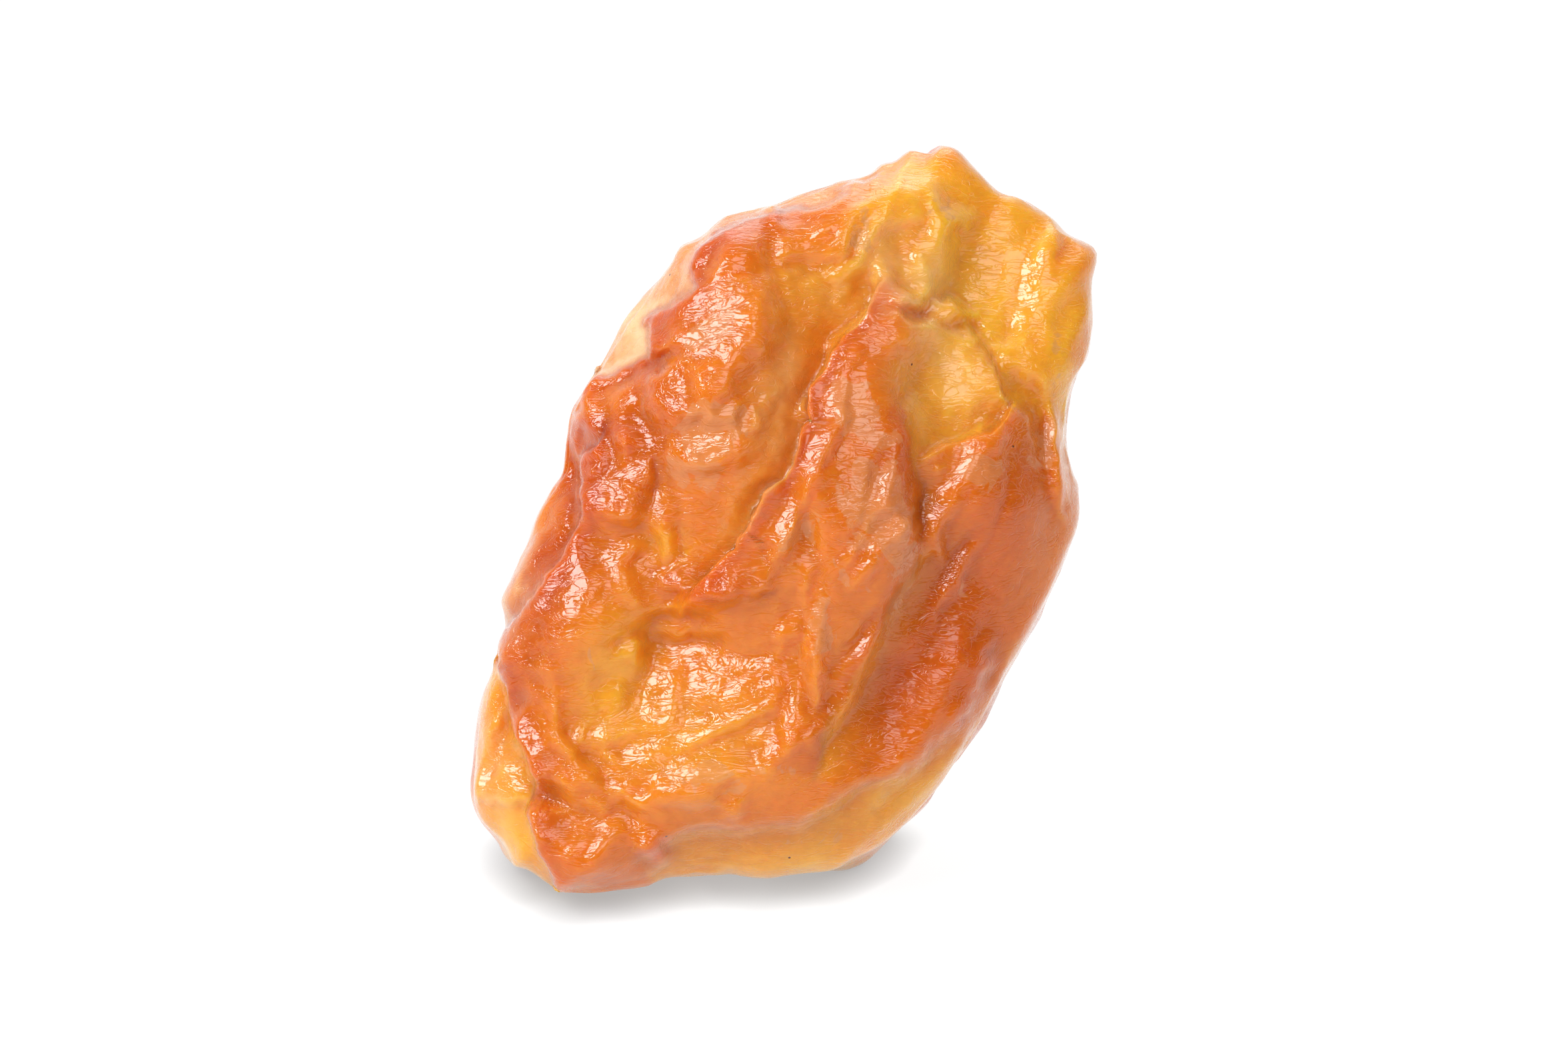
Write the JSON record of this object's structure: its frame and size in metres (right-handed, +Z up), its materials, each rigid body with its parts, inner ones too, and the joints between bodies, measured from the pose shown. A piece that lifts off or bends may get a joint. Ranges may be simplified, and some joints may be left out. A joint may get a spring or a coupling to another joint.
{
  "type": "raisin",
  "caption": "Large golden raisin standing on its broad end: a flattened, tapering dried grape with deep lapped folds, long wrinkles and low pads to rest on.",
  "frame": {"origin": "on the floor, under the middle of the raisin's outer box", "axes": "+Z up along the standing raisin's height, from its broad end to its stem end; -Y out of its broad folded face; +X to the right as the face is looked at"},
  "size_m": [0.0166, 0.0116, 0.0188],
  "materials": {
    "raisin_skin": "sticky, softly glossy, translucent amber skin, paler at its thin rims and redder in its folds"
  },
  "bodies": {
    "root": {"raisin": "raisin_skin"}
  },
  "joints": []
}
